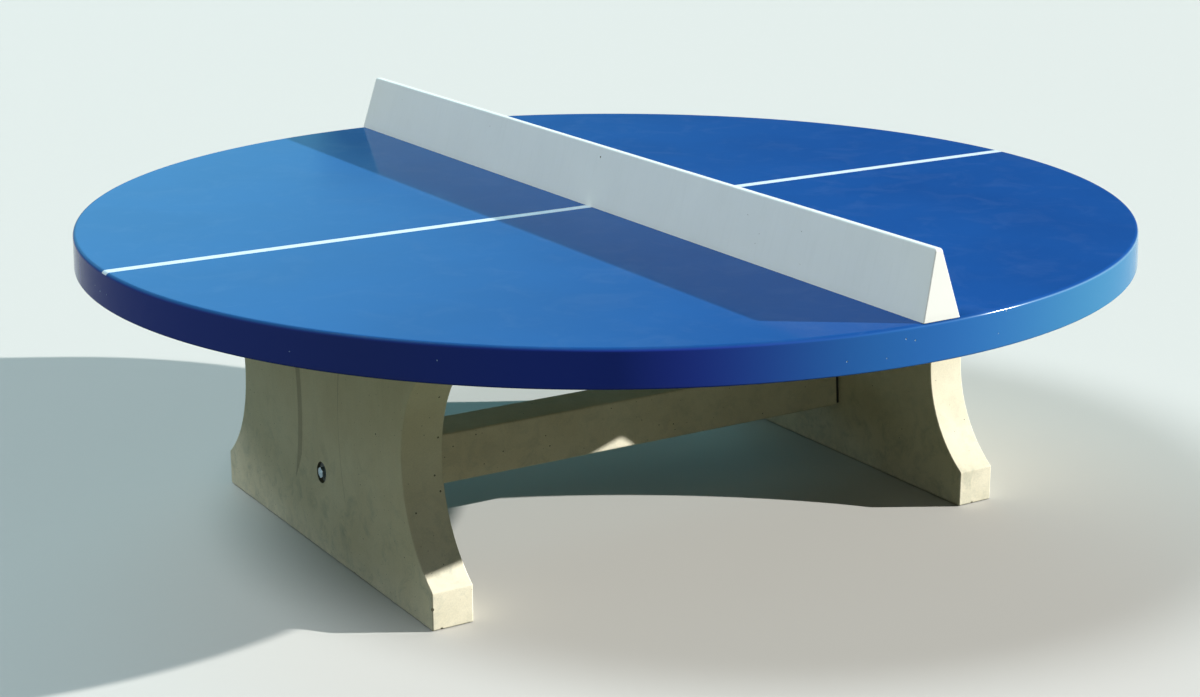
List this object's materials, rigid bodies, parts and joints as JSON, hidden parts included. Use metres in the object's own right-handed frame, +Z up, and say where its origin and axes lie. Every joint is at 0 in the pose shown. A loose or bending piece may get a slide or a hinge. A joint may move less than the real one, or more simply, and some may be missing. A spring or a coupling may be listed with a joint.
{
  "type": "concrete table tennis table",
  "caption": "Round outdoor table tennis table of cast concrete: a thick disc with a tapered net bar across it, on waisted plate legs tied together by a low beam.",
  "frame": {"origin": "on the ground, straight under the middle of the round tabletop", "axes": "+Z up; X runs along the centre line and the beam; Y runs along the net bar"},
  "size_m": [2.6, 2.6, 0.9053],
  "materials": {
    "blue_coating": "semi-gloss blue coating on cast concrete",
    "white_line": "white strip let into the slab, satin",
    "white_coating": "off-white satin coating on cast concrete",
    "cream_concrete": "matt cream cast concrete with small air holes",
    "zinc_plated_steel": "zinc-plated, satin",
    "black_rubber": "matt"
  },
  "bodies": {
    "root": {"tabletop": "blue_coating", "centre_line_left": "white_line", "centre_line_right": "white_line", "net_bar": "white_coating", "leg_left": "cream_concrete", "leg_right": "cream_concrete", "stretcher_beam": "cream_concrete", "beam_bolt_left": "zinc_plated_steel", "beam_bolt_right": "zinc_plated_steel", "beam_washer_left": "zinc_plated_steel", "beam_washer_right": "zinc_plated_steel", "beam_socket_left": "zinc_plated_steel", "beam_socket_right": "zinc_plated_steel", "net_bolt_near": "zinc_plated_steel", "net_bolt_far": "zinc_plated_steel", "net_washer_near": "zinc_plated_steel", "net_washer_far": "zinc_plated_steel", "net_socket_near": "zinc_plated_steel", "net_socket_far": "zinc_plated_steel", "slab_dowel_left_near": "zinc_plated_steel", "slab_dowel_left_far": "zinc_plated_steel", "slab_dowel_right_near": "zinc_plated_steel", "slab_dowel_right_far": "zinc_plated_steel", "joint_pad_left": "black_rubber", "joint_pad_right": "black_rubber", "bearing_pad_left_near": "black_rubber", "bearing_pad_left_far": "black_rubber", "bearing_pad_right_near": "black_rubber", "bearing_pad_right_far": "black_rubber"}
  },
  "joints": []
}
